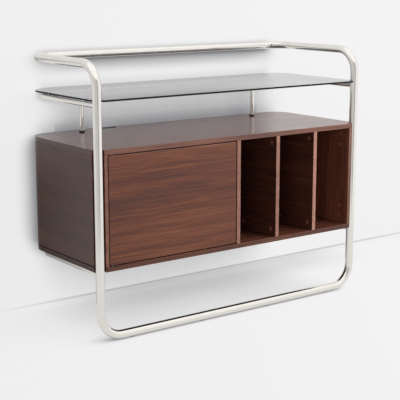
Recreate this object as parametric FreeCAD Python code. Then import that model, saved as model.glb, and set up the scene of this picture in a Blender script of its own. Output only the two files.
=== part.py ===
import FreeCAD, Part
import math
import os

# Record cabinet that hangs on a wall and stands on one bent-tube loop.
# Millimetres. X to the right, Y from the front towards the wall, Z up from the floor.

# Overall sizes
WIDTH = 1090.0
CABINET_DEPTH = 440.0
CABINET_FOOT = 228.0
CABINET_HEIGHT = 381.0
OVERALL_HEIGHT = 880.0

# Frame tube
TUBE_R = 14.0
TUBE_WALL = 1.5
BEND_R = 76.0
LEG_SET_BACK = 11.0
LEG_GAP = 4.0
GLIDE_HEIGHT = 2.0
GLIDE_R = 6.0
GLIDE_CRADLE = 2.0
GLIDE_PEG_R = 3.0
GLIDE_PEG_PAST = 2.0
GLIDE_FROM_BEND = 40.0
SEAM_BELOW_BEND = 100.0
SPIGOT_HALF = 35.0
SPIGOT_WALL = 2.5
GRUB_R = 2.5
GRUB_FROM_SEAM = 15.0

# Carrier loop, shelf loop, posts and glass
BOW_ABOVE_SHELF = 123.0
RAIL_R = 8.0
RAIL_WALL = 1.5
RAIL_BEND_R = 45.0
RAIL_BACK_INSET = 58.0
POST_X = 368.0
POST_R = 8.0
POST_SADDLE = 4.0
COLLAR_R = 9.5
COLLAR_HEIGHT = 5.0
POST_BOLT_R = 4.0
POST_BOLT_PLAY = 0.5
POST_BOLT_GRIP = 13.0
POST_THREAD_SPARE = 5.0
POST_WASHER_R = 8.0
POST_WASHER = 1.6
POST_HEAD_R = 7.5
POST_HEAD = 5.0
GLASS_THICK = 6.0
GLASS_SIDE_INSET = 5.0
GLASS_BACK_INSET = 2.0
BUMPER_R = 5.0
BUMPER_HEIGHT = 3.0
BUMPER_SADDLE = 2.0
BUMPER_FROM_FRONT = 70.0
BUMPER_FROM_BACK = 80.0

# Cabinet boards
BOARD = 16.0
INNER_BOARD = 12.0
DIVIDER = 15.0
BACK_BOARD = 6.0
BACK_LAP = 6.0
CORNER_R = 76.0
INNER_INSET = 29.0
EDGE_R = 4.0
POINT_R = 1.5
SQUARE_R = 1.0
EASE = 0.8
CENTRE_DIVIDER_X = -4.0
SKIN_SHADOW_GAP = 3.0
SKIN_RETURN = 17.0
SPACER_DEPTH = 31.0
CABLE_WIDTH = 92.0
CABLE_DEPTH = 34.0
CABLE_R = 20.0
CABLE_DROP = 28.0

# Wall rail
WALL_RAIL_DEPTH = 36.0
WALL_RAIL_HEIGHT = 70.0
WALL_RAIL_DROP = 33.0
WALL_RAIL_END_GAP = 12.0
WALL_HOLE_SPACING = 406.4
WALL_HOLE_R = 4.0

# Fittings
CAM_R = 7.5
CAM_DEPTH = 10.0
CAM_FROM_END = 25.0
CAM_SLOT = 1.2
CAM_SLOT_HALF = 4.5
CAM_SLOT_DEPTH = 1.5
CAM_BOLT_R = 3.0
CAM_BORE_R = 3.5
CAM_BOLT_SEAT = 11.0
CAM_BOLT_TIP = 3.0
CAM_ROW_DIVIDER = 25.0
CAM_ROW_INNER = 42.0
CAM_ROW_MIDDLE = 175.0
CAM_ROW_FROM_BACK = 53.0
DOWEL_R = 4.0
DOWEL_SEAT = 11.0
DOWEL_LENGTH = 30.0
DOWEL_ROW_FRONT = 100.0
DOWEL_ROW_FROM_BACK = 138.0
BACK_SCREW_R = 1.75
BACK_SCREW_HEAD_R = 3.5
BACK_SCREW_LENGTH = 24.0
BACK_SCREW_FROM_END = 20.0
TAB_THICK = 4.0
TAB_HALF = 20.0
TAB_START = 10.0
TAB_REACH = 62.0
TAB_BOLT_FROM_FRONT = 42.0
TAB_FROM_END = 62.0
TAB_BOLT_R = 3.0
TAB_HOLE_PLAY = 0.3
TAB_HEAD_R = 7.0
TAB_HEAD_HEIGHT = 3.0
TAB_KEY_R = 2.9
TAB_KEY_DEPTH = 2.0
TAB_BOLT_PAST = 4.0
TAB_FIT = 0.2
TAB_BOLT_RELIEF = 0.5

# Door, pivots and push latch
DOOR_GAP = 4.0
PIVOT_FROM_EDGE = 12.0
PIN_R = 4.0
PIN_RUN = 0.05
PIN_IN_DOOR = 25.0
PIN_IN_BUSH = 8.0
PIN_COLLAR_R = 7.0
BUSH_R = 6.0
BUSH_FLANGE_R = 8.0
BUSH_FLANGE = 1.0
BUSH_FLOOR = 2.0
LATCH_FROM_EDGE = 36.0
LATCH_BELOW_TOP = 13.0
LATCH_FROM_DOOR = 8.0
LATCH_LENGTH = 66.0
LATCH_HALF = 8.0
LATCH_FLANGE = 3.0
LATCH_EAR_X = 18.0
LATCH_EAR_LENGTH = 24.0
LATCH_SCREW_FROM_END = 5.0
PLUNGER_R = 4.0
PLUNGER_RUN = 0.05
PLUNGER_END_GAP = 2.0
PLUNGER_HOUSING_END = 10.0
PLUNGER_REST_GAP = 0.2
MAGNET_R = 3.5
MAGNET_THICK = 2.0
STRIKE_R = 6.0
STRIKE_THICK = 1.5
SCREW_R = 1.75
SCREW_HEAD_R = 3.5
STRIKE_HEAD_R = 3.0
SCREW_HEAD = 2.0
SCREW_IN_BOARD = 9.0

# Past the surface, so that a cut goes right through
PAST = 1.0

# Derived places
HALF = WIDTH / 2
LEG_PROUD = TUBE_R - LEG_SET_BACK
WALL_Y = (CABINET_DEPTH + LEG_PROUD) / 2
FRONT_Y = WALL_Y - CABINET_DEPTH
LEG_X = HALF - TUBE_R
LEG_Y = FRONT_Y + LEG_SET_BACK
LEG_ROOM_R = TUBE_R + LEG_GAP
LEG_ROOM_BACK = LEG_Y + LEG_ROOM_R
TOP_Z = OVERALL_HEIGHT - TUBE_R
FLOOR_RAIL_Z = TUBE_R + GLIDE_HEIGHT
BACK_TUBE_Y = WALL_Y - TUBE_R
CABINET_TOP = CABINET_FOOT + CABINET_HEIGHT
BAY_FLOOR = CABINET_FOOT + BOARD
BAY_TOP = CABINET_TOP - BOARD
SEAM_Z = TOP_Z - BEND_R - SEAM_BELOW_BEND
SHELF_RAIL_Z = TOP_Z - BOW_ABOVE_SHELF
CARRIER_Z = CABINET_FOOT - RAIL_R
RAIL_BACK_Y = WALL_Y - RAIL_BACK_INSET
GLASS_Z = SHELF_RAIL_Z + RAIL_R + BUMPER_HEIGHT
INNER_OUT_X = HALF - INNER_INSET
INNER_FACE_X = INNER_OUT_X - INNER_BOARD
SKIN_IN_X = HALF - BOARD
SKIN_END_X = HALF - CORNER_R - SKIN_RETURN
SLOT = (INNER_FACE_X - CENTRE_DIVIDER_X - 3 * DIVIDER) / 3
DIVIDER_X = [CENTRE_DIVIDER_X + n * (SLOT + DIVIDER) for n in range(3)]
BACK_BOARD_Y = WALL_Y - WALL_RAIL_DEPTH - BACK_BOARD
BACK_BOARD_HALF = INNER_FACE_X + BACK_LAP
UPRIGHT_DEPTH = BACK_BOARD_Y - FRONT_Y
CABLE_X = (CENTRE_DIVIDER_X - INNER_FACE_X) / 2
WALL_RAIL_HALF = SKIN_END_X - WALL_RAIL_END_GAP
WALL_RAIL_TOP = BAY_TOP - WALL_RAIL_DROP
WALL_HOLE_Z = WALL_RAIL_TOP - WALL_RAIL_HEIGHT / 2
TAB_HEIGHTS = (BAY_FLOOR + TAB_FROM_END, BAY_TOP - TAB_FROM_END)
TAB_Y = FRONT_Y + TAB_BOLT_FROM_FRONT
DOOR_LEFT = -INNER_FACE_X + DOOR_GAP
DOOR_RIGHT = CENTRE_DIVIDER_X - DOOR_GAP
DOOR_FOOT = BAY_FLOOR + DOOR_GAP
DOOR_TOP = BAY_TOP - DOOR_GAP
DOOR_BACK = FRONT_Y + BOARD
PIVOT_X = DOOR_LEFT + PIVOT_FROM_EDGE
PIVOT_Y = FRONT_Y + BOARD / 2
LATCH_X = DOOR_RIGHT - LATCH_FROM_EDGE
LATCH_Z = BAY_TOP - LATCH_BELOW_TOP
LATCH_Y = DOOR_BACK + LATCH_FROM_DOOR
LATCH_EAR_Y = LATCH_Y + LATCH_LENGTH / 2
PLUNGER_END_Y = LATCH_Y + LATCH_LENGTH - PLUNGER_HOUSING_END - PLUNGER_END_GAP
PLUNGER_TIP_Y = DOOR_BACK + STRIKE_THICK + PLUNGER_REST_GAP
SIDES = (-1, 1)


def vec(x, y, z):
    return FreeCAD.Vector(x, y, z)


def box(low, high):
    size = [b - a for a, b in zip(low, high)]
    return Part.makeBox(*size, vec(*low))


def side_box(side, x0, x1, y0, y1, z0, z1):
    """A box on the right side, or its mirror image on the left."""
    low, high = sorted((side * x0, side * x1))
    return box((low, y0, z0), (high, y1, z1))


def rod(start, end, radius):
    start = vec(*start)
    run = vec(*end) - start
    return Part.makeCylinder(radius, run.Length, start, run)


def fuse(shapes):
    shapes = list(shapes)
    if len(shapes) == 1:
        return shapes[0]
    return shapes[0].multiFuse(shapes[1:]).removeSplitter()


def cut(shape, tools):
    tools = list(tools)
    return shape.cut(Part.makeCompound(tools)) if tools else shape


def group(shapes):
    return Part.makeCompound(list(shapes))


def rounded_plate(corners, z, height):
    """A plate whose corners (x, y, radius) are joined by tangent arcs."""
    edges = []
    starts = []
    ends = []
    mids = []
    count = len(corners)
    for n, (x, y, radius) in enumerate(corners):
        here = vec(x, y, z)
        before = (vec(corners[n - 1][0], corners[n - 1][1], z) - here).normalize()
        after_corner = corners[(n + 1) % count]
        after = (vec(after_corner[0], after_corner[1], z) - here).normalize()
        half = before.getAngle(after) / 2
        reach = radius / math.tan(half)
        middle = (before + after).normalize()
        centre = here + middle * (radius / math.sin(half))
        starts.append(here + before * reach)
        ends.append(here + after * reach)
        mids.append(centre - middle * radius)
    for n in range(count):
        edges.append(Part.Arc(starts[n], mids[n], ends[n]).toShape())
        edges.append(Part.LineSegment(ends[n], starts[(n + 1) % count]).toShape())
    face = Part.Face(Part.Wire(edges))
    return face.extrude(vec(0, 0, height))


def swept(points, bend, section):
    """A bar through the points, bent round each inner one; section(centre, way) is its cut face."""
    pieces = []
    at = vec(*points[0])
    for n in range(1, len(points) - 1):
        corner = vec(*points[n])
        come = (corner - at).normalize()
        go = (vec(*points[n + 1]) - corner).normalize()
        turn = come.getAngle(go)
        reach = bend * math.tan(turn / 2)
        start = corner - come * reach
        pieces.append(section(at, come).extrude(start - at))
        axis = come.cross(go).normalize()
        centre = start + axis.cross(come) * bend
        pieces.append(section(start, come).revolve(centre, axis, math.degrees(turn)))
        at = corner + go * reach
    end = vec(*points[-1])
    pieces.append(section(at, (end - at).normalize()).extrude(end - at))
    return fuse(pieces)


def disc(centre, way, radius):
    return Part.Face(Part.Wire(Part.makeCircle(radius, centre, way)))


def bent_rod(points, radius, bend):
    return swept(points, bend, lambda centre, way: disc(centre, way, radius))


def bent_tube(points, radius, wall, bend):
    return swept(points, bend, lambda centre, way: disc(centre, way, radius).cut(disc(centre, way, radius - wall)))


def ease(shape, edges):
    """Takes the sharpness off the chosen edges."""
    return shape.makeFillet(EASE, edges)


def flat_edges(shape, z):
    """The edges that lie in one level plane."""
    return [e for e in shape.Edges if abs(e.BoundBox.ZMin - z) < 1e-6 and abs(e.BoundBox.ZMax - z) < 1e-6]


def front_edges(shape, y):
    return [e for e in shape.Edges if abs(e.BoundBox.YMin - y) < 1e-6 and abs(e.BoundBox.YMax - y) < 1e-6]


# Frame

def leg_cylinder(side):
    return rod((side * LEG_X, LEG_Y, FLOOR_RAIL_Z), (side * LEG_X, LEG_Y, TOP_Z), TUBE_R)


def glide_places():
    reach = LEG_X - BEND_R - GLIDE_FROM_BEND
    return [side * reach * share for side in SIDES for share in (1.0, 1.0 / 3)]


def grub_holes():
    holes = []
    for side in SIDES:
        for z in (SEAM_Z - GRUB_FROM_SEAM, SEAM_Z + GRUB_FROM_SEAM):
            inner = LEG_Y + TUBE_R - TUBE_WALL - SPIGOT_WALL
            holes.append(rod((side * LEG_X, inner, z), (side * LEG_X, LEG_Y + TUBE_R + PAST, z), GRUB_R))
    return holes


def floor_loop():
    points = [(-LEG_X, LEG_Y, SEAM_Z), (-LEG_X, LEG_Y, FLOOR_RAIL_Z),
              (LEG_X, LEG_Y, FLOOR_RAIL_Z), (LEG_X, LEG_Y, SEAM_Z)]
    tube = bent_tube(points, TUBE_R, TUBE_WALL, BEND_R)
    pegs = [rod((x, LEG_Y, 0), (x, LEG_Y, FLOOR_RAIL_Z), GLIDE_PEG_R) for x in glide_places()]
    return cut(tube, pegs + grub_holes())


def top_bow():
    points = [(-LEG_X, LEG_Y, SEAM_Z), (-LEG_X, LEG_Y, TOP_Z), (-LEG_X, BACK_TUBE_Y, TOP_Z),
              (LEG_X, BACK_TUBE_Y, TOP_Z), (LEG_X, LEG_Y, TOP_Z), (LEG_X, LEG_Y, SEAM_Z)]
    return cut(bent_tube(points, TUBE_R, TUBE_WALL, BEND_R), grub_holes())


def bow_spigot(side):
    low = (side * LEG_X, LEG_Y, SEAM_Z - SPIGOT_HALF)
    high = (side * LEG_X, LEG_Y, SEAM_Z + SPIGOT_HALF)
    sleeve = rod(low, high, TUBE_R - TUBE_WALL).cut(rod(low, high, TUBE_R - TUBE_WALL - SPIGOT_WALL))
    return cut(sleeve, grub_holes())


def grub_screws():
    """Set screws through the back of each leg, flush with the tube."""
    legs = [leg_cylinder(side) for side in SIDES]
    return group([hole.common(group(legs)) for hole in grub_holes()])


def floor_glides():
    """Nylon pads shaped to the underside of the floor rail."""
    rail = rod((-LEG_X, LEG_Y, FLOOR_RAIL_Z), (LEG_X, LEG_Y, FLOOR_RAIL_Z), TUBE_R)
    glides = []
    for x in glide_places():
        pad = rod((x, LEG_Y, 0), (x, LEG_Y, GLIDE_HEIGHT + GLIDE_CRADLE), GLIDE_R).cut(rail)
        peg = rod((x, LEG_Y, 0), (x, LEG_Y, GLIDE_HEIGHT + TUBE_WALL + GLIDE_PEG_PAST), GLIDE_PEG_R)
        glides.append(pad.fuse(peg).removeSplitter())
    return group(glides)


# Loops and shelf

def rail_points(z):
    return [(-LEG_X, LEG_Y, z), (-LEG_X, RAIL_BACK_Y, z), (LEG_X, RAIL_BACK_Y, z), (LEG_X, LEG_Y, z)]


def rail_loop(z):
    """Thin tube from leg to leg round the back, under the cabinet or under the glass."""
    tube = bent_tube(rail_points(z), RAIL_R, RAIL_WALL, RAIL_BEND_R)
    return cut(tube, [leg_cylinder(side) for side in SIDES])


def shelf_post(side):
    x = side * POST_X
    foot = CABINET_TOP + COLLAR_HEIGHT
    post = rod((x, RAIL_BACK_Y, foot), (x, RAIL_BACK_Y, SHELF_RAIL_Z - POST_SADDLE), POST_R)
    rail = rod((-LEG_X, RAIL_BACK_Y, SHELF_RAIL_Z), (LEG_X, RAIL_BACK_Y, SHELF_RAIL_Z), RAIL_R)
    depth = POST_BOLT_GRIP + POST_THREAD_SPARE
    thread = rod((x, RAIL_BACK_Y, foot), (x, RAIL_BACK_Y, foot + depth), POST_BOLT_R)
    return cut(post, [rail, thread])


def post_bolt_hole(side, low, high):
    return rod((side * POST_X, RAIL_BACK_Y, low), (side * POST_X, RAIL_BACK_Y, high), POST_BOLT_R + POST_BOLT_PLAY)


def post_collar(side):
    top = CABINET_TOP + COLLAR_HEIGHT
    disc = rod((side * POST_X, RAIL_BACK_Y, CABINET_TOP), (side * POST_X, RAIL_BACK_Y, top), COLLAR_R)
    return disc.cut(post_bolt_hole(side, CABINET_TOP, top))


def hexagon(centre, radius, first, second):
    """A six-sided outline round a centre, spanned by two directions."""
    turns = [n * math.pi / 3 for n in range(7)]
    points = [centre + first * (radius * math.cos(t)) + second * (radius * math.sin(t)) for t in turns]
    return Part.makePolygon(points)


def post_bolt(side):
    """Hexagon bolt with its washer, put in from below the top board."""
    x = side * POST_X
    seat = BAY_TOP - POST_WASHER
    shank = rod((x, RAIL_BACK_Y, seat), (x, RAIL_BACK_Y, CABINET_TOP + COLLAR_HEIGHT + POST_BOLT_GRIP), POST_BOLT_R)
    washer = rod((x, RAIL_BACK_Y, seat), (x, RAIL_BACK_Y, BAY_TOP), POST_WASHER_R)
    sides = hexagon(vec(x, RAIL_BACK_Y, seat), POST_HEAD_R, vec(1, 0, 0), vec(0, 1, 0))
    head = Part.Face(sides).extrude(vec(0, 0, -POST_HEAD))
    return fuse([shank, washer, head])


def post_bolts():
    return group([post_bolt(side) for side in SIDES])


def leg_rooms(low, high):
    """The round rooms left for the two legs between two heights."""
    return [rod((side * LEG_X, LEG_Y, low), (side * LEG_X, LEG_Y, high), LEG_ROOM_R) for side in SIDES]


def beside_leg(shape):
    """The upright edges where the room for a leg breaks through the shape's rim."""
    points = []
    for edge in shape.Edges:
        size = edge.BoundBox
        away = math.hypot(abs(size.Center.x) - LEG_X, size.Center.y - LEG_Y)
        if size.XLength < EASE and size.YLength < EASE and abs(away - LEG_ROOM_R) < 1e-4:
            points.append(edge)
    return points


def scooped(shape):
    """Leaves room for the legs and blunts the points that this makes."""
    size = shape.BoundBox
    shape = cut(shape, leg_rooms(size.ZMin - PAST, size.ZMax + PAST)).removeSplitter()
    return shape.makeFillet(POINT_R, beside_leg(shape))


def level_plate(half, back, z, thick):
    """A plate such as the top board or the glass: scooped for the legs in front, round behind."""
    corners = [(-half, FRONT_Y, EDGE_R), (half, FRONT_Y, EDGE_R), (half, back, CORNER_R), (-half, back, CORNER_R)]
    plate = scooped(rounded_plate(corners, z, thick))
    return ease(plate, flat_edges(plate, z) + flat_edges(plate, z + thick))


def glass_shelf():
    return level_plate(HALF - GLASS_SIDE_INSET, WALL_Y - GLASS_BACK_INSET, GLASS_Z, GLASS_THICK)


def bumper_places():
    rows = (FRONT_Y + BUMPER_FROM_FRONT, RAIL_BACK_Y - BUMPER_FROM_BACK)
    sides = [(side * LEG_X, y) for side in SIDES for y in rows]
    return sides + [(side * POST_X / 2, RAIL_BACK_Y) for side in SIDES]


def glass_bumpers():
    rail = bent_rod(rail_points(SHELF_RAIL_Z), RAIL_R, RAIL_BEND_R)
    return group([rod((x, y, SHELF_RAIL_Z + RAIL_R - BUMPER_SADDLE), (x, y, GLASS_Z), BUMPER_R).cut(rail)
                  for x, y in bumper_places()])


# Fittings between the boards

def upright_boards():
    """Each upright: x of its cam face, way into the board, thickness, first cam row."""
    boards = [(-INNER_FACE_X, -1, INNER_BOARD, CAM_ROW_INNER), (INNER_FACE_X, 1, INNER_BOARD, CAM_ROW_INNER)]
    return boards + [(x, 1, DIVIDER, CAM_ROW_DIVIDER) for x in DIVIDER_X]


def board_middle(board):
    face, way, thick, first_row = board
    return face + way * thick / 2


def board_ends():
    """The lower and upper end of an upright, each with the way into it."""
    return ((BAY_FLOOR, 1), (BAY_TOP, -1))


def cam_places(board):
    """The middle of each cam bore, with the board end it faces and the way in."""
    rows = (board[3], CAM_ROW_MIDDLE, UPRIGHT_DEPTH - CAM_ROW_FROM_BACK)
    return [(board_middle(board), FRONT_Y + row, end, up) for row in rows for end, up in board_ends()]


def cam_pocket(board, place):
    face, way = board[:2]
    y, z = place[1], place[2] + place[3] * CAM_FROM_END
    return rod((face, y, z), (face + way * CAM_DEPTH, y, z), CAM_R)


def cam_bore(place):
    x, y, end, up = place
    return rod((x, y, end), (x, y, end + up * CAM_FROM_END), CAM_BORE_R)


def cam_bolt(place):
    x, y, end, up = place
    return rod((x, y, end - up * CAM_BOLT_SEAT), (x, y, end + up * (CAM_FROM_END - CAM_BOLT_TIP)), CAM_BOLT_R)


def cam_lock(board, place):
    """A turning cam with a cross slot, open towards its bolt."""
    face, way = board[:2]
    y, z = place[1], place[2] + place[3] * CAM_FROM_END
    low, high = sorted((face, face + way * CAM_SLOT_DEPTH))
    half = CAM_SLOT / 2
    bars = [box((low, y - CAM_SLOT_HALF, z - half), (high, y + CAM_SLOT_HALF, z + half)),
            box((low, y - half, z - CAM_SLOT_HALF), (high, y + half, z + CAM_SLOT_HALF))]
    return cut(cam_pocket(board, place), [cam_bore(place)] + bars)


def dowel_places(board):
    rows = (DOWEL_ROW_FRONT, UPRIGHT_DEPTH - DOWEL_ROW_FROM_BACK)
    return [(board_middle(board), FRONT_Y + row, end, up) for row in rows for end, up in board_ends()]


def dowel(place):
    x, y, end, up = place
    return rod((x, y, end - up * DOWEL_SEAT), (x, y, end + up * (DOWEL_LENGTH - DOWEL_SEAT)), DOWEL_R)


def back_screw_places(board):
    middle = (BAY_FLOOR + BAY_TOP) / 2
    heights = (BAY_FLOOR + BACK_SCREW_FROM_END, middle, BAY_TOP - BACK_SCREW_FROM_END)
    return [(board_middle(board), z) for z in heights]


def back_screw(x, z):
    """A countersunk screw through the back board into an upright."""
    back = BACK_BOARD_Y + BACK_BOARD
    shank = rod((x, back, z), (x, back - BACK_SCREW_LENGTH, z), BACK_SCREW_R)
    head = Part.makeCone(BACK_SCREW_HEAD_R, BACK_SCREW_R, BACK_SCREW_HEAD_R - BACK_SCREW_R,
                         vec(x, back, z), vec(0, -1, 0))
    return shank.fuse(head).removeSplitter()


def cam_locks():
    return group([cam_lock(board, place) for board in upright_boards() for place in cam_places(board)])


def cam_bolts():
    return group([cam_bolt(place) for board in upright_boards() for place in cam_places(board)])


def dowels():
    return group([dowel(place) for board in upright_boards() for place in dowel_places(board)])


def back_screws():
    """All the countersunk screws through the back board."""
    return group([back_screw(*place) for board in upright_boards() for place in back_screw_places(board)])


def level_board_holes(low, high):
    """Every fitting that enters the level board between two heights."""
    tools = []
    for board in upright_boards():
        tools += [cam_bolt(place) for place in cam_places(board)]
        tools += [dowel(place) for place in dowel_places(board)]
    return [tool for tool in tools if tool.BoundBox.ZMin < high and tool.BoundBox.ZMax > low]


# Cabinet boards

def cable_notch():
    """The notch for cables in the back of the top board."""
    half = CABLE_WIDTH / 2
    corners = [(CABLE_X - half, WALL_Y - CABLE_DEPTH, CABLE_R), (CABLE_X + half, WALL_Y - CABLE_DEPTH, CABLE_R),
               (CABLE_X + half, WALL_Y + CABLE_R, SQUARE_R), (CABLE_X - half, WALL_Y + CABLE_R, SQUARE_R)]
    return rounded_plate(corners, BAY_TOP - PAST, BOARD + 2 * PAST)


def cable_pass():
    """The way for cables through the top of the back panel, under the notch."""
    half = CABLE_WIDTH / 2
    return box((CABLE_X - half, BACK_BOARD_Y - PAST, BAY_TOP - CABLE_DROP),
               (CABLE_X + half, BACK_BOARD_Y + BACK_BOARD + PAST, BAY_TOP + PAST))


def top_board():
    holes = [post_bolt_hole(side, BAY_TOP, CABINET_TOP) for side in SIDES]
    tools = level_board_holes(BAY_TOP, CABINET_TOP) + holes + [cable_notch(), bush_seat(1)] + latch_screw_shanks()
    return cut(level_plate(HALF, WALL_Y, BAY_TOP, BOARD), tools)


def bottom_board():
    board = level_plate(HALF, WALL_Y, CABINET_FOOT, BOARD)
    return cut(board, level_board_holes(CABINET_FOOT, BAY_FLOOR) + [bush_seat(-1)])


def upright(board, low_x, high_x):
    """A board between floor and top, ready for its cams, bolts, dowels and screws."""
    blank = box((low_x, FRONT_Y, BAY_FLOOR), (high_x, BACK_BOARD_Y, BAY_TOP))
    blank = ease(blank, [e for e in front_edges(blank, FRONT_Y) if e.BoundBox.ZLength > BOARD])
    tools = []
    for place in cam_places(board):
        tools += [cam_pocket(board, place), cam_bore(place)]
    tools += [dowel(place) for place in dowel_places(board)]
    tools += [back_screw(*place) for place in back_screw_places(board)]
    return cut(blank, tools)


def inner_panel(side):
    board = upright_boards()[0 if side < 0 else 1]
    low, high = sorted((side * INNER_FACE_X, side * INNER_OUT_X))
    holes = [rod((low, TAB_Y, z), (high, TAB_Y, z), TAB_BOLT_R + TAB_HOLE_PLAY) for z in TAB_HEIGHTS]
    return cut(upright(board, low, high), holes)


def divider(number):
    board = upright_boards()[2 + number]
    return upright(board, DIVIDER_X[number], DIVIDER_X[number] + DIVIDER)


def side_skin(side):
    """The curved outer wall, bent round the back corner."""
    corners = [(side * HALF, LEG_Y, SQUARE_R), (side * HALF, WALL_Y, CORNER_R), (side * SKIN_END_X, WALL_Y, SQUARE_R),
               (side * SKIN_END_X, WALL_Y - BOARD, SQUARE_R),
               (side * SKIN_IN_X, WALL_Y - BOARD, CORNER_R - BOARD),
               (side * SKIN_IN_X, LEG_Y, SQUARE_R)]
    foot = BAY_FLOOR + SKIN_SHADOW_GAP
    return scooped(rounded_plate(corners, foot, BAY_TOP - foot))


def front_spacer(side):
    """Strip that joins the inner panel to the skin and lets the leg tabs through."""
    start = LEG_ROOM_BACK
    strip = side_box(side, INNER_OUT_X, SKIN_IN_X, start, start + SPACER_DEPTH, BAY_FLOOR, BAY_TOP)
    tools = []
    reach = TAB_HALF + TAB_FIT
    for z in TAB_HEIGHTS:
        tools.append(side_box(side, INNER_OUT_X, INNER_OUT_X + TAB_THICK + TAB_FIT, start - PAST,
                              start + SPACER_DEPTH + PAST, z - reach, z + reach))
        tools.append(rod((side * INNER_OUT_X, TAB_Y, z), (side * SKIN_IN_X, TAB_Y, z), TAB_BOLT_R + TAB_BOLT_RELIEF))
    return cut(strip, tools)


def rear_spacer(side):
    end = WALL_Y - CORNER_R
    return side_box(side, INNER_OUT_X, SKIN_IN_X, end - SPACER_DEPTH, end, BAY_FLOOR, BAY_TOP)


def back_panel():
    blank = box((-BACK_BOARD_HALF, BACK_BOARD_Y, BAY_FLOOR), (BACK_BOARD_HALF, BACK_BOARD_Y + BACK_BOARD, BAY_TOP))
    screws = [back_screw(*place) for board in upright_boards() for place in back_screw_places(board)]
    return cut(blank, screws + wall_holes() + [cable_pass()])


def wall_holes():
    holes = []
    for side in SIDES:
        x = side * WALL_HOLE_SPACING / 2
        holes.append(rod((x, BACK_BOARD_Y - PAST, WALL_HOLE_Z), (x, WALL_Y + PAST, WALL_HOLE_Z), WALL_HOLE_R))
    return holes


def wall_rail():
    low = (-WALL_RAIL_HALF, WALL_Y - WALL_RAIL_DEPTH, WALL_RAIL_TOP - WALL_RAIL_HEIGHT)
    return cut(box(low, (WALL_RAIL_HALF, WALL_Y, WALL_RAIL_TOP)), wall_holes())


# Leg tabs

def leg_tab(side, z):
    blank = side_box(side, INNER_OUT_X, INNER_OUT_X + TAB_THICK, FRONT_Y + TAB_START, FRONT_Y + TAB_REACH,
                     z - TAB_HALF, z + TAB_HALF)
    hole = rod((side * INNER_OUT_X, TAB_Y, z), (side * (INNER_OUT_X + TAB_THICK), TAB_Y, z), TAB_BOLT_R)
    return cut(blank, [leg_cylinder(side), hole])


def leg_tabs():
    return group([leg_tab(side, z) for side in SIDES for z in TAB_HEIGHTS])


def tab_bolt(side, z):
    """Flat-headed bolt from the bay, through the inner panel into the tab."""
    face = side * INNER_FACE_X
    outer = side * (INNER_FACE_X - TAB_HEAD_HEIGHT)
    end = side * (INNER_OUT_X + TAB_THICK + TAB_BOLT_PAST)
    head = rod((outer, TAB_Y, z), (face, TAB_Y, z), TAB_HEAD_R)
    shank = rod((face, TAB_Y, z), (end, TAB_Y, z), TAB_BOLT_R)
    key = hexagon(vec(outer, TAB_Y, z), TAB_KEY_R, vec(0, 1, 0), vec(0, 0, 1))
    socket = Part.Face(key).extrude(vec(side * TAB_KEY_DEPTH, 0, 0))
    return cut(fuse([head, shank]), [socket])


def tab_bolts():
    return group([tab_bolt(side, z) for side in SIDES for z in TAB_HEIGHTS])


# Door, pivots and latch

def bush_seat(up):
    """The hole in the top (1) or bottom (-1) board that holds a pivot bush."""
    face = BAY_TOP if up > 0 else BAY_FLOOR
    return rod((PIVOT_X, PIVOT_Y, face), (PIVOT_X, PIVOT_Y, face + up * (PIN_IN_BUSH + BUSH_FLOOR)), BUSH_R)


def pivot_bush(up):
    face = BAY_TOP if up > 0 else BAY_FLOOR
    flange = rod((PIVOT_X, PIVOT_Y, face - up * BUSH_FLANGE), (PIVOT_X, PIVOT_Y, face), BUSH_FLANGE_R)
    depth = PIN_IN_BUSH + BUSH_FLOOR / 2
    bore = rod((PIVOT_X, PIVOT_Y, face - up * BUSH_FLANGE), (PIVOT_X, PIVOT_Y, face + up * depth), PIN_R + PIN_RUN)
    return bush_seat(up).fuse(flange).removeSplitter().cut(bore)


def pin_hole(up):
    edge = DOOR_TOP if up > 0 else DOOR_FOOT
    return rod((PIVOT_X, PIVOT_Y, edge), (PIVOT_X, PIVOT_Y, edge - up * PIN_IN_DOOR), PIN_R)


def pivot_pin(up):
    """Pressed into the edge of the door; its collar runs on the bush."""
    edge = DOOR_TOP if up > 0 else DOOR_FOOT
    face = BAY_TOP if up > 0 else BAY_FLOOR
    collar = rod((PIVOT_X, PIVOT_Y, edge), (PIVOT_X, PIVOT_Y, face - up * (BUSH_FLANGE + PIN_RUN)), PIN_COLLAR_R)
    journal = rod((PIVOT_X, PIVOT_Y, edge), (PIVOT_X, PIVOT_Y, face + up * PIN_IN_BUSH), PIN_R)
    return fuse([pin_hole(up), collar, journal])


def door_panel():
    blank = box((DOOR_LEFT, FRONT_Y, DOOR_FOOT), (DOOR_RIGHT, DOOR_BACK, DOOR_TOP))
    blank = ease(blank, front_edges(blank, FRONT_Y))
    return cut(blank, [pin_hole(1), pin_hole(-1), strike_screw()])


def strike_plate():
    disc = rod((LATCH_X, DOOR_BACK, LATCH_Z), (LATCH_X, DOOR_BACK + STRIKE_THICK, LATCH_Z), STRIKE_R)
    return disc.cut(strike_screw())


def strike_screw():
    """Countersunk screw that holds the strike to the back of the door."""
    face = DOOR_BACK + STRIKE_THICK
    shank = rod((LATCH_X, face, LATCH_Z), (LATCH_X, face - STRIKE_THICK - SCREW_IN_BOARD, LATCH_Z), SCREW_R)
    head = Part.makeCone(STRIKE_HEAD_R, SCREW_R, STRIKE_HEAD_R - SCREW_R, vec(LATCH_X, face, LATCH_Z), vec(0, -1, 0))
    return shank.fuse(head).removeSplitter()


def latch_screw_places():
    return [(LATCH_X + side * (LATCH_EAR_X - LATCH_SCREW_FROM_END), LATCH_EAR_Y) for side in SIDES]


def latch_screw_shanks():
    ear = BAY_TOP - LATCH_FLANGE
    return [rod((x, y, ear), (x, y, BAY_TOP + SCREW_IN_BOARD), SCREW_R) for x, y in latch_screw_places()]


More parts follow.
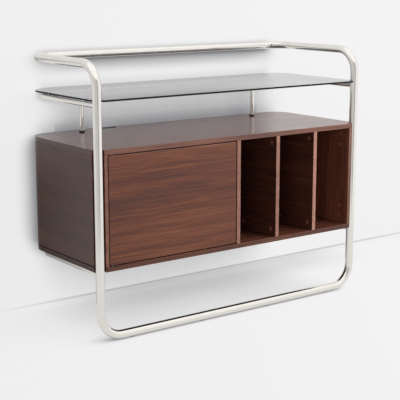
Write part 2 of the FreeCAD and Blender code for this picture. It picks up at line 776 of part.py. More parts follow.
def latch_screws():
    ear = BAY_TOP - LATCH_FLANGE
    heads = [rod((x, y, ear - SCREW_HEAD), (x, y, ear), SCREW_HEAD_R) for x, y in latch_screw_places()]
    return group([shank.fuse(head).removeSplitter() for shank, head in zip(latch_screw_shanks(), heads)])


def latch_housing():
    body = box((LATCH_X - LATCH_HALF, LATCH_Y, LATCH_Z - LATCH_HALF),
               (LATCH_X + LATCH_HALF, LATCH_Y + LATCH_LENGTH, BAY_TOP))
    ears = box((LATCH_X - LATCH_EAR_X, LATCH_EAR_Y - LATCH_EAR_LENGTH / 2, BAY_TOP - LATCH_FLANGE),
               (LATCH_X + LATCH_EAR_X, LATCH_EAR_Y + LATCH_EAR_LENGTH / 2, BAY_TOP))
    bore = rod((LATCH_X, LATCH_Y, LATCH_Z), (LATCH_X, PLUNGER_END_Y + PLUNGER_END_GAP, LATCH_Z),
               PLUNGER_R + PLUNGER_RUN)
    return cut(fuse([body, ears]), [bore] + latch_screw_shanks())


def plunger_magnet():
    end = PLUNGER_TIP_Y + MAGNET_THICK
    return rod((LATCH_X, PLUNGER_TIP_Y, LATCH_Z), (LATCH_X, end, LATCH_Z), MAGNET_R)


def latch_plunger():
    start = PLUNGER_TIP_Y + MAGNET_THICK
    return rod((LATCH_X, start, LATCH_Z), (LATCH_X, PLUNGER_END_Y, LATCH_Z), PLUNGER_R)


def nodes():
    """Every subcomponent by name."""
    parts = {
        "floor_loop": floor_loop(),
        "top_bow": top_bow(),
        "left_spigot": bow_spigot(-1),
        "right_spigot": bow_spigot(1),
        "grub_screws": grub_screws(),
        "floor_glides": floor_glides(),
        "carrier_loop": rail_loop(CARRIER_Z),
        "shelf_loop": rail_loop(SHELF_RAIL_Z),
        "left_post": shelf_post(-1),
        "right_post": shelf_post(1),
        "left_collar": post_collar(-1),
        "right_collar": post_collar(1),
        "post_bolts": post_bolts(),
        "glass_shelf": glass_shelf(),
        "glass_bumpers": glass_bumpers(),
        "top_board": top_board(),
        "bottom_board": bottom_board(),
        "left_inner_panel": inner_panel(-1),
        "right_inner_panel": inner_panel(1),
        "left_skin": side_skin(-1),
        "right_skin": side_skin(1),
        "left_front_spacer": front_spacer(-1),
        "right_front_spacer": front_spacer(1),
        "left_rear_spacer": rear_spacer(-1),
        "right_rear_spacer": rear_spacer(1),
        "centre_divider": divider(0),
        "second_divider": divider(1),
        "third_divider": divider(2),
        "back_panel": back_panel(),
        "wall_rail": wall_rail(),
        "leg_tabs": leg_tabs(),
        "tab_bolts": tab_bolts(),
        "cam_locks": cam_locks(),
        "cam_bolts": cam_bolts(),
        "dowels": dowels(),
        "back_screws": back_screws(),
        "door_panel": door_panel(),
        "upper_pivot_pin": pivot_pin(1),
        "lower_pivot_pin": pivot_pin(-1),
        "upper_pivot_bush": pivot_bush(1),
        "lower_pivot_bush": pivot_bush(-1),
        "strike_plate": strike_plate(),
        "strike_screw": strike_screw(),
        "latch_housing": latch_housing(),
        "latch_screws": latch_screws(),
        "latch_plunger": latch_plunger(),
        "plunger_magnet": plunger_magnet(),
    }
    return parts


os.makedirs("parts", exist_ok=True)
for name, shape in nodes().items():
    shape.exportStep("parts/" + name + ".step")
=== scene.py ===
"""Looks of the record cabinet: finishes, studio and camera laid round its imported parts, in metres."""

import functools
import math

import bpy
from mathutils import Euler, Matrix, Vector


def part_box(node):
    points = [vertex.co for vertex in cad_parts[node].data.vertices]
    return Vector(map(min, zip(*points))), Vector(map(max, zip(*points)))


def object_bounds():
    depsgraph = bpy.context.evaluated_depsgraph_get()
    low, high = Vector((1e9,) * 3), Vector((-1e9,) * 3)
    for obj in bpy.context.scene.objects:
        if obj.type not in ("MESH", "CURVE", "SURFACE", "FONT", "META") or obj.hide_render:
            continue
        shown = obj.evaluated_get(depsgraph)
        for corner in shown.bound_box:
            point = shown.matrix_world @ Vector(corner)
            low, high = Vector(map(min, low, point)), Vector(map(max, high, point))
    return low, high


# Driving values: the camera, as the picture was taken
CAMERA_PLACE = (-2.209, -2.9905, 1.1227)
CAMERA_TURN = math.radians(36.51)
CAMERA_DROP = math.radians(11.63)
LENS_MM = 97.9
SENSOR_MM = 36.0

# Driving values: the lamps
LAMP_AIM = (0.0, 0.0, 0.42)
KEY_WATTS = 142.0
KEY_PLACE = (1.85, -1.85, 2.05)
KEY_SIZE = (3.0, 2.8)
FILL_WATTS = 13.0
FILL_PLACE = (-2.1, -2.2, 0.9)
FILL_SIZE = (1.5, 1.2)
REAR_WATTS = 30.0
REAR_PLACE = (0.3, 2.6, 1.3)
REAR_SIZE = (2.0, 1.4)

# Driving values: the background's tones, by who looks and in which direction
BACKGROUND = 0.87
AMBIENT = 0.11
LEFT_TONE = 0.66
RIGHT_TONE = 1.05
LEFT_TO_RIGHT = (-0.3, 0.5)
FRONT_TO_BACK = (-0.35, 0.35)
OVERHEAD_TONE = 1.20
OVERHEAD_RISE = (0.48, 0.64)
STRIP_TONE = 0.06
STRIP_SIDE = (0.988, -0.155, 0.0)
STRIP_REACH = (0.045, 0.085)
STRIP_TOP = (0.55, 0.68)

# Driving values: the paper floor and the paper wall
FLOOR_TONE = 0.09
FLOOR_GLOW = 0.80
WALL_TONE = 0.06
WALL_GLOW = 0.82
WALL_GAP = 0.001
PAPER_FADE = (1.2, 2.6)
PAPER_REACH = 3.0
SHADE_TINT = (0.0, 0.0, 0.018)
SHADE_SAMPLES = 16

# Soft shades on a paper: the way to the light, the reach, the depth, and the open share where it is full
# and where it ends
FLOOR_SHADES = (
    ((0.50, -0.50, 0.70), 0.06, 0.50, (0.25, 1.0)),
    ((0.22, -0.55, 0.80), 0.50, 0.42, (0.12, 0.78)),
)
WALL_SHADES = (
    ((0.0, -1.0, 0.0), 0.10, 0.50, (0.20, 0.85)),
    ((-0.15, -0.65, 0.75), 0.60, 0.64, (0.15, 0.67)),
    ((0.0, -0.50, 0.87), 0.06, 0.42, (0.30, 0.95)),
)

# Shades laid on the papers: their depth, and the stretches along which they come and go
SKIRT_SHADE = 0.35
SKIRT_LOW = (0.014, 0.018)
SKIRT_HIGH = (0.021, 0.026)
SKIRT_LEFT = (-0.80, -0.20)
SKIRT_RIGHT = (0.60, 2.00)
UNDER_SHADE = 0.23
UNDER_LEFT = (-0.58, -0.08)
UNDER_RIGHT = (0.55, 1.00)
UNDER_REAR = (-0.02, 0.20)
COVER_SHADE = 0.85
CONTACT_SHADE = 0.24
CONTACT_RISE = 0.045
MIRROR_SHADE = 0.60
MIRROR_RISE = (0.40, 0.62)
MIRROR_SIDE = (0.57, 0.84)

# Shades of the back rail, with heights from its top
RAIL_SHADE = 0.25
RAIL_DROP = (-0.085, -0.050)
RAIL_TOP = (-0.020, 0.0)
RAIL_END = (0.36, 0.52)
RAIL_MIRROR_SHADE = 0.45
RAIL_MIRROR_DROP = (-0.105, -0.035)
RAIL_MIRROR_END = (0.20, 0.50)

# Lighter stretches of wall by the shelf, with heights from the underside of its glass
BELOW_SHELF_LIFT = 0.32
BELOW_SHELF_LOW = (-0.124, -0.054)
BELOW_SHELF_TOP = (-0.006, 0.006)
ABOVE_SHELF_LIFT = 0.10
ABOVE_SHELF_LOW = (0.003, 0.011)
ABOVE_SHELF_TOP = (0.031, 0.051)
SHELF_LIFT_END = (0.42, 0.58)

# Driving values: walnut's figure, by the length and width of its marks and their share in its tone
DRIFT_LENGTH = 0.50
DRIFT_WIDTH = 0.10
DRIFT = 0.018
BAND_LENGTH = 0.60
BAND_WIDTH = 0.034
BAND_SHARE = 0.9
STREAK_LENGTH = 0.42
STREAK_WIDTH = 0.0046
STREAK_ROUGHNESS = 0.6
STREAK_SHARE = 0.9
LINE_LENGTH = 0.20
LINE_WIDTH = 0.0026
LINE_SHARE = 1.4
CROWN_LENGTH = 1.60
CROWN_WIDTH = 0.09
CROWN_RINGS = 10.0
CROWN_RISE = (0.45, 0.98)
CROWN_SHARE = 0.12
TONE_DROP = 1.03
THREAD_LENGTH = 0.45
THREAD_WIDTH = 0.0042
THREAD_RISE = (0.62, 0.74)
THREAD_SHARE = 0.40
FLECK_LENGTH = 0.030
FLECK_WIDTH = 0.0026
FLECK_RISE = (0.68, 0.76)
PORE_LENGTH = 0.011
PORE_WIDTH = 0.0007
PORE_RISE = (0.60, 0.74)
PORE_SHARE = 0.50
PORE_DULLNESS = 0.18
PORE_BUMP = 0.25
PORE_DEPTH = 0.0002
HEART_WIDTH = (0.010, 0.036)
HEART_SHARE = 0.28
HEART_HEIGHT = 0.53
HEART_WANDER = 0.09
WANDER_LENGTH = 0.24
WANDER_WIDTH = 1.0
PALE_EDGE_WIDTH = 0.0009
NARROW_FACE = 0.6

# The duller gloss of the boards inside the cabinet
INSIDE = {"satin": 0.42, "shine": 0.18}

# The middle of a noise or of the wood's tone
MIDDLE = 0.5

# Driving values: nickel, glass and the plain finishes; a scale counts the marks in one metre
NICKEL_ROUGHNESS = 0.045
SMUDGE_SCALE = 14.0
SMUDGE_RISE = (0.45, 0.75)
SMUDGE_SHARE = 0.5
SMUDGE_TONE = 0.94
SMUDGE_ROUGHNESS = 0.04
HAIR_SCALE = 900.0
HAIR_ROUGHNESS = 0.02
SMEAR_SCALE = 9.0
SMEAR_RISE = (0.50, 0.80)
SMEAR_ROUGHNESS = 0.02
GLASS_IOR = 1.5
GLASS_COAT = 0.45
GLASS_COAT_ROUGHNESS = 0.02
SMOKE_DENSITY = 150.0
GROUND_ROUGHNESS = 0.24
GROUND_SMEAR = 0.1
GROUND_SHINE = 0.12
PAD_SCALE = 400.0
PAD_ROUGHNESS = 0.22
PAD_CLOUD = 0.12
PAD_CLEARNESS = 0.7
PAD_IOR = 1.45
MOTTLE_DARK = 0.32
MOTTLE_LIGHT = 0.68
MOTTLE_ROUGHNESS = 0.2
MOTTLE_BUMP = 0.1
MOTTLE_DEPTH = 0.0002
RAW_ROUGHNESS = 0.72
RAW_DULLNESS = 0.15
RAW_PORE_SHARE = 0.4
RAW_BUMP = 0.4
RAW_DEPTH = 0.0003
FIBRE_LENGTH = 0.012
FIBRE_WIDTH = 0.0012
FIBRE_ROUGHNESS = 0.7
FIBRE_SHARE = 0.7
FIBRE_BUMP = 0.25
FIBRE_DEPTH = 0.0003
BOARD_CLOUD_SCALE = 18.0
BOARD_CLOUD_SHARE = 0.3
BOARD_ROUGHNESS = 0.62
BOARD_DULLNESS = 0.2

# Colours, as they look in plain light
WALNUT_DARK = (0.090, 0.036, 0.029)
WALNUT_MID = (0.126, 0.044, 0.029)
WALNUT_RED = (0.172, 0.059, 0.033)
WALNUT_LIGHT = (0.240, 0.092, 0.052)
WALNUT_PORE = (0.034, 0.014, 0.011)
# Edge colours: edge banding, made paler still as a painted highlight where the edges catch the light
EDGE_DARK = (0.260, 0.125, 0.090)
EDGE_LIGHT = (0.410, 0.215, 0.165)
RAW_DARK = (0.36, 0.23, 0.13)
RAW_LIGHT = (0.55, 0.39, 0.25)
RAW_PORE = (0.20, 0.12, 0.07)
BOARD_DARK = (0.105, 0.058, 0.036)
BOARD_LIGHT = (0.205, 0.122, 0.078)
NICKEL = (0.80, 0.77, 0.725)
GLASS_TINT = (0.92, 0.935, 0.965)
GLASS_SMOKE = (0.10, 0.10, 0.12)
GLASS_SHADOW = (0.77, 0.77, 0.79)
GLASS_EDGE = (0.010, 0.012, 0.014)
PAD_DARK = (0.72, 0.73, 0.74)
PAD_LIGHT = (0.84, 0.85, 0.86)

# Colours along a tone from dark to light
WALNUT_STOPS = ((0.10, WALNUT_DARK), (0.42, WALNUT_MID), (0.62, WALNUT_RED), (0.95, WALNUT_LIGHT))
EDGE_STOPS = ((0.15, EDGE_DARK), (0.85, EDGE_LIGHT))
RAW_STOPS = ((0.25, RAW_DARK), (0.75, RAW_LIGHT))
BOARD_STOPS = ((0.30, BOARD_DARK), (0.70, BOARD_LIGHT))
PAD_STOPS = ((0.3, PAD_DARK), (0.7, PAD_LIGHT))

# Small parts: dark and light colour, roughness, size of the mottle and share of metal
SMALL_FINISHES = {
    "black_rubber": ((0.010, 0.010, 0.010), (0.022, 0.022, 0.022), 0.55, 0.0006, 0.0),
    "zinc": ((0.496, 0.496, 0.488), (0.62, 0.62, 0.61), 0.34, 0.0012, 1.0),
    "black_plastic": ((0.014, 0.014, 0.015), (0.03, 0.03, 0.031), 0.45, 0.0005, 0.0),
    "brown_plastic": ((0.352, 0.136, 0.100), (0.44, 0.17, 0.125), 0.38, 0.0008, 0.0),
    "dark_steel": ((0.04, 0.036, 0.034), (0.075, 0.070, 0.066), 0.42, 0.0010, 0.9),
    "grey_plastic": ((0.28, 0.28, 0.28), (0.36, 0.36, 0.36), 0.48, 0.0006, 0.0),
}


class Term:
    """One number in a finish's formula; a sum or product with it adds the Math nodes for it."""

    def __init__(self, finish, socket):
        self.finish = finish
        self.socket = socket

    def worked(self, operation, first, second):
        return self.finish.add("ShaderNodeMath", {"operation": operation}, {0: first, 1: second})

    def __add__(self, other):
        return self.worked("ADD", self, other)

    def __radd__(self, other):
        return self.worked("ADD", other, self)

    def __sub__(self, other):
        return self.worked("SUBTRACT", self, other)

    def __rsub__(self, other):
        return self.worked("SUBTRACT", other, self)

    def __mul__(self, other):
        return self.worked("MULTIPLY", self, other)

    def __rmul__(self, other):
        return self.worked("MULTIPLY", other, self)

    def __lt__(self, other):
        return self.worked("LESS_THAN", self, other)

    def __gt__(self, other):
        return self.worked("GREATER_THAN", self, other)

    def larger(self, other):
        return self.worked("MAXIMUM", self, other)

    def fraction(self):
        return self.worked("FRACT", self, 0.0)

    def size(self):
        return self.worked("ABSOLUTE", self, 0.0)

    def between(self, low, high):
        """0 below low, 1 above high and a smooth rise between them."""
        return self.finish.add(
            "ShaderNodeMapRange",
            {"interpolation_type": "SMOOTHSTEP"},
            {"Value": self, "From Min": low, "From Max": high},
        )

    def within(self, rise, fall):
        """1 on the stretch from the end of its rise to the start of its fall, and 0 outside both."""
        return self.between(*rise) * (1.0 - self.between(*fall))

    def near_middle(self, fall):
        """1 up to the start of the fall on either side of the middle, and 0 past its end."""
        return 1.0 - self.size().between(*fall)


class Finish:
    """The nodes of one material, or of the world."""

    def __init__(self, tree):
        self.tree = tree
        self.tree.nodes.clear()

    def add(self, kind, settings=None, sockets=None, out=0):
        """Adds any node: its settings, then the values or links of its sockets. Gives one output."""
        node = self.tree.nodes.new(kind)
        for name, value in (settings or {}).items():
            if name == "stops":
                self.set_stops(node.color_ramp, value)
            else:
                setattr(node, name, value)
        for name, value in (sockets or {}).items():
            if isinstance(value, Term):
                self.tree.links.new(value.socket, node.inputs[name])
            else:
                node.inputs[name].default_value = value
        return Term(self, node.outputs[out]) if node.outputs else None

    def set_stops(self, ramp, stops):
        while len(ramp.elements) < len(stops):
            ramp.elements.new(1.0)
        for element, (place, colour) in zip(ramp.elements, stops):
            element.position = place
            element.color = (*colour, 1.0)

    def place(self):
        return self.add("ShaderNodeTexCoord", out="Object")

    def facing(self):
        """The way that the surface faces, as the piece lies at rest: its three parts."""
        normal = self.add("ShaderNodeTexCoord", out="Normal")
        return self.parts(normal)

    def parts(self, vector):
        split = self.add("ShaderNodeSeparateXYZ", None, {0: vector})
        return [Term(self, socket) for socket in split.socket.node.outputs]

    def moved(self, vector, by):
        return self.add("ShaderNodeVectorMath", {"operation": "ADD"}, {0: vector, 1: by})

    def scaled(self, vector, by):
        return self.add("ShaderNodeVectorMath", {"operation": "MULTIPLY"}, {0: vector, 1: by})

    def noise(self, vector, detail=2.0, roughness=0.5, scale=1.0, out="Fac"):
        sockets = {"Vector": vector, "Scale": scale, "Detail": detail, "Roughness": roughness}
        return self.add("ShaderNodeTexNoise", None, sockets, out)

    def ramp(self, factor, *stops):
        return self.add("ShaderNodeValToRGB", {"stops": stops}, {0: factor})

    def mixed(self, factor, first, second):
        """One colour laid over another."""
        sockets = {0: factor, 6: solid(first), 7: solid(second)}
        return self.add("ShaderNodeMix", {"data_type": "RGBA"}, sockets, out=2)

    def bump(self, height, strength, depth):
        sockets = {"Height": height, "Strength": strength, "Distance": depth}
        return self.add("ShaderNodeBump", None, sockets)

    def ray(self, *kinds):
        """1 for a ray of one of these kinds, such as Is Camera Ray."""
        outputs = self.add("ShaderNodeLightPath").socket.node.outputs
        return functools.reduce(Term.larger, [Term(self, outputs[kind]) for kind in kinds])

    def surface(self, **sockets):
        named = {name.replace("_", " "): value for name, value in sockets.items()}
        return self.add("ShaderNodeBsdfPrincipled", None, named)

    def finish_with(self, surface, volume=None):
        sockets = {"Surface": surface}
        if volume is not None:
            sockets["Volume"] = volume
        self.add("ShaderNodeOutputMaterial", None, sockets)


def solid(colour):
    return colour if isinstance(colour, Term) else (*colour, 1.0)


def grey(tone):
    return [tone] * 3


def shaded(colour, by):
    return [part * by for part in colour]


def shaded_stops(stops, by):
    return [(place, shaded(colour, by)) for place, colour in stops]


def raised(heights, by):
    return [height + by for height in heights]


def new_material(name):
    material = bpy.data.materials.new(name)
    material.use_nodes = True
    return material, Finish(material.node_tree)


def along(axis, length, width):
    """What turns metres into streaks of one length along an axis and one width across it."""
    sizes = [width, width, width]
    sizes["XYZ".index(axis)] = length
    return [1.0 / size for size in sizes]


def wood_figure(f, grain):
    """Walnut's figure along one axis: tone from 0 to 1, dark flecks and pores, and pale threads."""
    place = f.place()
    drift = f.noise(f.scaled(place, along(grain, DRIFT_LENGTH, DRIFT_WIDTH)), detail=1.0, out="Color")
    place = f.moved(place, f.scaled(drift, [DRIFT] * 3))

    def marks(length, width, detail, roughness=0.5):
        return f.noise(f.scaled(place, along(grain, length, width)), detail, roughness)

    bands = marks(BAND_LENGTH, BAND_WIDTH, 2.0)
    streaks = marks(STREAK_LENGTH, STREAK_WIDTH, 3.0, STREAK_ROUGHNESS)
    lines = marks(LINE_LENGTH, LINE_WIDTH, 2.0)
    crowns = (marks(CROWN_LENGTH, CROWN_WIDTH, 0.5) * CROWN_RINGS).fraction().between(*CROWN_RISE)
    flecks = marks(FLECK_LENGTH, FLECK_WIDTH, 1.0).between(*FLECK_RISE)
    pores = marks(PORE_LENGTH, PORE_WIDTH, 1.0).between(*PORE_RISE)
    threads = marks(THREAD_LENGTH, THREAD_WIDTH, 1.0).between(*THREAD_RISE)
    tone = bands * BAND_SHARE + streaks * STREAK_SHARE + lines * LINE_SHARE
    tone = tone - crowns * CROWN_SHARE - TONE_DROP
    return tone, flecks.larger(pores), threads


def walnut(name, grain, edge=None, heart=None, band_and_sheen=1.0, pale=1.0, depth=1.0, satin=0.34, shine=0.30,
           relief=0.08):
    """Satin walnut veneer. edge says where the paler edge colour shows, partly edge banding and partly a
    painted highlight where the edges catch the light; heart where a darker band crosses it.
    """
    material, f = new_material(name)
    tone, pores, threads = wood_figure(f, grain)
    if heart is not None:
        tone = tone - heart(f) * HEART_SHARE
    # depth scales the colour; for some inside boards and the packing it is painted light and shade
    colour = f.ramp(tone, *shaded_stops(WALNUT_STOPS, depth))
    colour = f.mixed(threads * THREAD_SHARE, colour, shaded(WALNUT_LIGHT, depth))
    if edge is not None:
        # The paler edge: partly edge banding, partly a painted highlight where the edges catch the light
        colour = f.mixed(edge(f) * band_and_sheen, colour, f.ramp(tone, *shaded_stops(EDGE_STOPS, pale)))
    colour = f.mixed(pores * PORE_SHARE, colour, WALNUT_PORE)
    f.finish_with(f.surface(
        Base_Color=colour,
        Roughness=satin + pores * PORE_DULLNESS + (tone - MIDDLE) * relief,
        Specular_IOR_Level=shine,
        Normal=f.bump(1.0 - pores, PORE_BUMP, PORE_DEPTH),
    ))
    return material


def door_heart(f):
    """The darker band across the middle of the door's veneer, wandering a little."""
    low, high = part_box("door_panel")
    place = f.place()
    wander = f.noise(f.scaled(place, along("X", WANDER_LENGTH, WANDER_WIDTH))) - MIDDLE
    height = f.parts(place)[2] + wander * HEART_WANDER
    middle = low.z + HEART_HEIGHT * (high.z - low.z)
    return (height - middle).near_middle(HEART_WIDTH)


def rim(f):
    """The narrow faces round a lying board or pane."""
    return f.facing()[2].size() < NARROW_FACE


def front(f):
    """The narrow front face of a standing board."""
    return f.facing()[1] < -NARROW_FACE


def door_border(f):
    """The thin paler line that shows round the door's face."""
    low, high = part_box("door_panel")
    x, _, z = f.parts(f.place())
    across = (x < low.x + PALE_EDGE_WIDTH).larger(x > high.x - PALE_EDGE_WIDTH)
    up = (z < low.z + PALE_EDGE_WIDTH).larger(z > high.z - PALE_EDGE_WIDTH)
    return across.larger(up)


def polished_nickel():
    """Bright plated tube: faint smudges and hairline polishing marks in its gloss."""
    material, f = new_material("polished_nickel")
    place = f.place()
    smudge = f.noise(place, detail=3.0, scale=SMUDGE_SCALE).between(*SMUDGE_RISE)
    hair = f.noise(place, scale=HAIR_SCALE)
    f.finish_with(f.surface(
        Base_Color=f.mixed(smudge * SMUDGE_SHARE, NICKEL, shaded(NICKEL, SMUDGE_TONE)),
        Metallic=1.0,
        Roughness=NICKEL_ROUGHNESS + smudge * SMUDGE_ROUGHNESS + hair * HAIR_ROUGHNESS,
    ))
    return material


def smoked_glass():
    """Grey float glass that darkens with the length of glass looked through, with dark ground edges."""
    material, f = new_material("smoked_glass")
    smears = f.noise(f.place(), scale=SMEAR_SCALE).between(*SMEAR_RISE)
    glass = f.surface(
        Base_Color=solid(GLASS_TINT),
        Roughness=smears * SMEAR_ROUGHNESS,
        IOR=GLASS_IOR,
        Transmission_Weight=1.0,
        Coat_Weight=GLASS_COAT,
        Coat_Roughness=GLASS_COAT_ROUGHNESS,
    )
    ground = f.surface(
        Base_Color=solid(GLASS_EDGE),
        Roughness=GROUND_ROUGHNESS + smears * GROUND_SMEAR,
        Specular_IOR_Level=GROUND_SHINE,
    )
    clear = f.add("ShaderNodeBsdfTransparent", None, {"Color": solid(GLASS_SHADOW)})
    pane = f.add("ShaderNodeMixShader", None, {0: f.ray("Is Shadow Ray"), 1: glass, 2: clear})
    smoke = {"Color": solid(GLASS_SMOKE), "Density": SMOKE_DENSITY}
    tint = f.add("ShaderNodeVolumeAbsorption", None, smoke)
    f.finish_with(f.add("ShaderNodeMixShader", None, {0: rim(f), 1: pane, 2: ground}), tint)
    return material


def clear_pad():
    """Soft clear bumpers under the glass."""
    material, f = new_material("clear_pad")
    cloud = f.noise(f.place(), scale=PAD_SCALE)
    f.finish_with(f.surface(
        Base_Color=f.ramp(cloud, *PAD_STOPS),
        Roughness=PAD_ROUGHNESS + cloud * PAD_CLOUD,
        Transmission_Weight=PAD_CLEARNESS,
        IOR=PAD_IOR,
    ))
    return material


def small_finish(name, dark, light, rough, mottle_size, metal):
    """A small part's finish: fine mottle in its colour, gloss and surface."""
    material, f = new_material(name)
    mottle = f.noise(f.place(), detail=3.0, scale=1.0 / mottle_size)
    f.finish_with(f.surface(
        Base_Color=f.ramp(mottle, (MOTTLE_DARK, dark), (MOTTLE_LIGHT, light)),
        Metallic=metal,
        Roughness=rough + (mottle - MIDDLE) * MOTTLE_ROUGHNESS,
        Normal=f.bump(mottle, MOTTLE_BUMP, MOTTLE_DEPTH),
    ))
    return material


def raw_wood():
    """Unfinished rail and packing wood, pale and open grained."""
    material, f = new_material("raw_wood")
    tone, pores, _ = wood_figure(f, "X")
    f.finish_with(f.surface(
        Base_Color=f.mixed(pores * RAW_PORE_SHARE, f.ramp(tone, *RAW_STOPS), RAW_PORE),
        Roughness=RAW_ROUGHNESS + pores * RAW_DULLNESS,
        Normal=f.bump(1.0 - pores, RAW_BUMP, RAW_DEPTH),
    ))
    return material


def back_board():
    """Pressed fibre back, brown with pale fibres."""
    material, f = new_material("back_board")
    place = f.place()
    threads = f.scaled(place, along("X", FIBRE_LENGTH, FIBRE_WIDTH))
    fibre = f.noise(threads, detail=3.0, roughness=FIBRE_ROUGHNESS)
    cloud = f.noise(place, scale=BOARD_CLOUD_SCALE)
    f.finish_with(f.surface(
        Base_Color=f.ramp(fibre * FIBRE_SHARE + cloud * BOARD_CLOUD_SHARE, *BOARD_STOPS),
        Roughness=BOARD_ROUGHNESS + fibre * BOARD_DULLNESS,
        Normal=f.bump(fibre, FIBRE_BUMP, FIBRE_DEPTH),
    ))
    return material


def board_finishes():
    """The walnut of the boards that differ from the rest, by node."""
    # The spacers get a darker copy of walnut: painted shade for the dark gap beside the legs
    packing = walnut("walnut_packing_shaded", "Z", depth=0.45)
    return {
        "top_board": walnut("walnut_lying", "X", rim, band_and_sheen=0.12, satin=0.17, shine=0.50, relief=0.20),
        "bottom_board": walnut("walnut_base", "X", depth=0.74, satin=0.22, shine=0.34, relief=0.22),
        "door_panel": walnut("walnut_door", "X", door_border, door_heart, band_and_sheen=0.8),
        "left_inner_panel": walnut("walnut_near_panel", "Y", front, band_and_sheen=0.6, depth=0.78, **INSIDE),
        # The third divider and the end panel are lighter copies of the inside walnut, the third with a
        # paler front: painted light, as more light reaches the bays towards the right
        "third_divider": walnut("walnut_third_lit", "Y", front, pale=1.3, depth=0.82, **INSIDE),
        "right_inner_panel": walnut("walnut_end_panel_lit", "Z", front, pale=0.56, depth=1.8, **INSIDE),
        "left_front_spacer": packing,
        "right_front_spacer": packing,
    }


def slot_finishes():
    """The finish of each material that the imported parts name."""
    finishes = {
        "tube": polished_nickel(),
        "walnut": walnut("walnut_side", "Y", depth=0.90, shine=0.50),
        # The inside walnut is a darker copy of the walnut: painted shade for the dim bays
        "inner_wood": walnut("walnut_inside_shaded", "Y", front, depth=0.62, **INSIDE),
        "raw_wood": raw_wood(),
        "back_board": back_board(),
        "smoked_glass": smoked_glass(),
        "clear_pad": clear_pad(),
    }
    for name, looks in SMALL_FINISHES.items():
        finishes[name] = small_finish(name, *looks)
    return finishes


def finish_nodes(nodes):
    """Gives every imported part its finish."""
    by_node = board_finishes()
    by_slot = slot_finishes()
    for name, node in nodes.items():
        for slot in node.material_slots:
            slot.material = by_node.get(name, by_slot[slot.material.name])


def light_world():
    """A pale background, dimmer on the camera's side, with less light from it on the object."""
    world = bpy.data.worlds.new("studio")
    bpy.context.scene.world = world
    world.use_nodes = True
    f = Finish(world.node_tree)
    way = f.add("ShaderNodeTexCoord", out="Generated")
    x, y, z = f.parts(way)
    sockets = {0: way, 1: STRIP_SIDE}
    aside = f.add("ShaderNodeVectorMath", {"operation": "DOT_PRODUCT"}, sockets, out="Value")
    strip = aside.near_middle(STRIP_REACH) * (y < 0.0) * (1.0 - z.between(*STRIP_TOP))
    room = f.mixed(x.between(*LEFT_TO_RIGHT), grey(LEFT_TONE), grey(RIGHT_TONE))
    mirrored = f.mixed(y.between(*FRONT_TO_BACK), room, grey(BACKGROUND))
    mirrored = f.mixed(strip, mirrored, grey(STRIP_TONE))
    mirrored = f.mixed(z.between(*OVERHEAD_RISE), mirrored, grey(OVERHEAD_TONE))
    shown = f.mixed(f.ray("Is Glossy Ray", "Is Transmission Ray"), grey(AMBIENT), mirrored)
    shown = f.mixed(f.ray("Is Camera Ray"), shown, grey(BACKGROUND))
    light = f.add("ShaderNodeBackground", None, {"Color": shown})
    f.add("ShaderNodeOutputWorld", None, {"Surface": light})


def foot_shades(x, z):
    """The line along the foot of the wall, and the strip below it under the cabinet."""
    line = z.within(SKIRT_LOW, SKIRT_HIGH) * x.within(SKIRT_LEFT, SKIRT_RIGHT)
    strip = (1.0 - z.between(*SKIRT_LOW)) * x.within(UNDER_LEFT, UNDER_RIGHT)
    return line * SKIRT_SHADE, strip * UNDER_SHADE


def cabinet_shades(x, z, glossy):
    """The wall behind the cabinet, the wall just above it, and the low wall as mirrors show it."""
    low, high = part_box("bottom_board")[0].z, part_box("top_board")[1].z
    behind = (x.size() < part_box("wall_rail")[1].x) * (z > low)
    covered = behind * (z < high)
    contact = behind * (1.0 - z.between(high, high + CONTACT_RISE)) * (1.0 - glossy)
    mirrored = glossy * (1.0 - z.between(*MIRROR_RISE)) * x.near_middle(MIRROR_SIDE)
    return covered * COVER_SHADE, contact * CONTACT_SHADE, mirrored * MIRROR_SHADE


def rail_shades(x, z, glossy):
    """The wall below the back rail, and a longer stretch of it as mirrors show it."""
    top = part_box("top_bow")[1].z
    end = raised(RAIL_TOP, top)
    below = z.within(raised(RAIL_DROP, top), end) * x.near_middle(RAIL_END)
    leftward = 1.0 - x.between(*RAIL_MIRROR_END)
    mirrored = glossy * z.within(raised(RAIL_MIRROR_DROP, top), end) * leftward
    return below * RAIL_SHADE, mirrored * RAIL_MIRROR_SHADE


def shelf_lift(x, z, seen):
    """How far the wall by the shelf is lightened: the soft shades take its glass for a solid board."""
    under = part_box("glass_shelf")[0].z
    below = z.within(raised(BELOW_SHELF_LOW, under), raised(BELOW_SHELF_TOP, under))
    above = z.within(raised(ABOVE_SHELF_LOW, under), raised(ABOVE_SHELF_TOP, under))
    return (below * BELOW_SHELF_LIFT + above * ABOVE_SHELF_LIFT) * x.near_middle(SHELF_LIFT_END) * seen


def wall_shade(f):
    """How far the wall is dimmed: by the deepest shade laid on it, less the lift by the shelf."""
    x, _, z = f.parts(f.place())
    glossy = f.ray("Is Glossy Ray")
    shades = foot_shades(x, z) + cabinet_shades(x, z, glossy) + rail_shades(x, z, glossy)
    return functools.reduce(Term.larger, shades) - shelf_lift(x, z, f.ray("Is Camera Ray"))


def floor_shade(f):
    """How far the floor is dimmed: under the cabinet, more towards the wall."""
    x, y, _ = f.parts(f.place())
    return x.within(UNDER_LEFT, UNDER_RIGHT) * y.between(*UNDER_REAR) * UNDER_SHADE


def near_shade(f, sky, reach, depth, rise):
    """The share of the paper's glow that is left where the object hides part of the sky."""
    toward = f.add("ShaderNodeCombineXYZ", None, dict(enumerate(sky)))
    looked = {"Distance": reach, "Normal": toward}
    open_sky = f.add("ShaderNodeAmbientOcclusion", {"samples": SHADE_SAMPLES}, looked, out="AO")
    return 1.0 - (1.0 - open_sky.between(*rise)) * depth


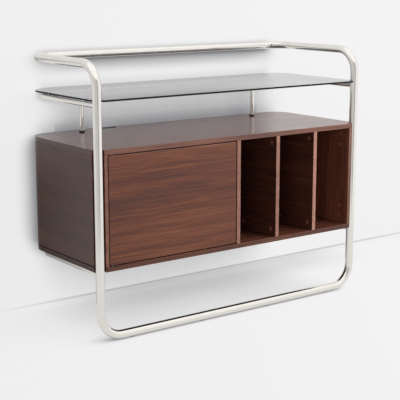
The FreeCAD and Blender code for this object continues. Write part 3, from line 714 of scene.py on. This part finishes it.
def studio_paper(name, tone, glow, shades, hidden, dimmed):
    """Pale paper that keeps the shadows and fades into the background; hidden says where it is clear."""
    material, f = new_material(name)
    away = f.add("ShaderNodeVectorMath", {"operation": "LENGTH"}, {0: f.place()}, out="Value")
    open_share = away.between(*PAPER_FADE).larger(hidden(f))
    seen = f.ray("Is Camera Ray", "Is Glossy Ray", "Is Transmission Ray")
    share = 1.0 - dimmed(f)
    for shade in shades:
        share = share * near_shade(f, *shade)
    glow_here = f.mixed(share, SHADE_TINT, grey(glow))
    matt = f.add("ShaderNodeBsdfDiffuse", None, {"Color": solid(grey(tone))})
    shine = f.add("ShaderNodeEmission", None, {"Color": f.mixed(seen, grey(0.0), glow_here)})
    lit = f.add("ShaderNodeAddShader", None, {0: matt, 1: shine})
    clear = f.add("ShaderNodeBsdfTransparent")
    f.finish_with(f.add("ShaderNodeMixShader", None, {0: open_share, 1: lit, 2: clear}))
    return material


def from_behind(f):
    """Where a paper is seen from its back."""
    return f.add("ShaderNodeNewGeometry", out="Backfacing")


def open_wall(f):
    """Where the wall paper lets everything through: from its back, and for the light on the object."""
    return from_behind(f).larger(f.ray("Is Shadow Ray", "Is Diffuse Ray"))


def paper_sheet(name, corners, material):
    mesh = bpy.data.meshes.new(name)
    mesh.from_pydata(corners, [], [(0, 1, 2, 3)])
    mesh.materials.append(material)
    sheet = bpy.data.objects.new(name, mesh)
    bpy.context.scene.collection.objects.link(sheet)
    sheet.visible_shadow = False


def hang_paper(wall_y):
    """A floor that shows from above only, and a wall sheet that shows from the front only."""
    far = PAPER_REACH
    floor = [(-far, -far, 0.0), (far, -far, 0.0), (far, far, 0.0), (-far, far, 0.0)]
    wall = [(-far, wall_y, 0.0), (far, wall_y, 0.0), (far, wall_y, far), (-far, wall_y, far)]
    floor_looks = (FLOOR_TONE, FLOOR_GLOW, FLOOR_SHADES, from_behind, floor_shade)
    wall_looks = (WALL_TONE, WALL_GLOW, WALL_SHADES, open_wall, wall_shade)
    paper_sheet("floor", floor, studio_paper("floor_paper", *floor_looks))
    paper_sheet("wall", wall, studio_paper("wall_paper", *wall_looks))


def lamp(name, place, size, watts):
    light = bpy.data.lights.new(name, "AREA")
    light.shape = "RECTANGLE"
    light.size, light.size_y = size
    light.energy = watts
    holder = bpy.data.objects.new(name, light)
    holder.location = place
    holder.rotation_euler = (Vector(LAMP_AIM) - Vector(place)).to_track_quat("-Z", "Y").to_euler()
    holder.visible_camera = False
    holder.visible_glossy = False
    bpy.context.scene.collection.objects.link(holder)


def light_studio():
    lamp("key_softbox", KEY_PLACE, KEY_SIZE, KEY_WATTS)
    lamp("fill_softbox", FILL_PLACE, FILL_SIZE, FILL_WATTS)
    lamp("rear_softbox", REAR_PLACE, REAR_SIZE, REAR_WATTS)


def place_camera():
    data = bpy.data.cameras.new("camera")
    data.lens = LENS_MM
    data.sensor_width = SENSOR_MM
    camera = bpy.data.objects.new("camera", data)
    camera.location = CAMERA_PLACE
    camera.rotation_euler = Euler((math.pi / 2 - CAMERA_DROP, 0.0, -CAMERA_TURN))
    bpy.context.scene.collection.objects.link(camera)
    bpy.context.scene.camera = camera


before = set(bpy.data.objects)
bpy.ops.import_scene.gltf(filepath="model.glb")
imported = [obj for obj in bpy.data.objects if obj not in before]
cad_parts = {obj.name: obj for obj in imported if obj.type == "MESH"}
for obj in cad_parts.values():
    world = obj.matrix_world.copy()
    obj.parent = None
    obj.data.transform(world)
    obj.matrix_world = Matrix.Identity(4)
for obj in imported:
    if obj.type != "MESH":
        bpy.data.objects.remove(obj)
cad_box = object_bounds()
bpy.context.scene.view_settings.view_transform = "Standard"
finish_nodes(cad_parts)
light_world()
hang_paper(cad_box[1].y + WALL_GAP)
light_studio()
place_camera()
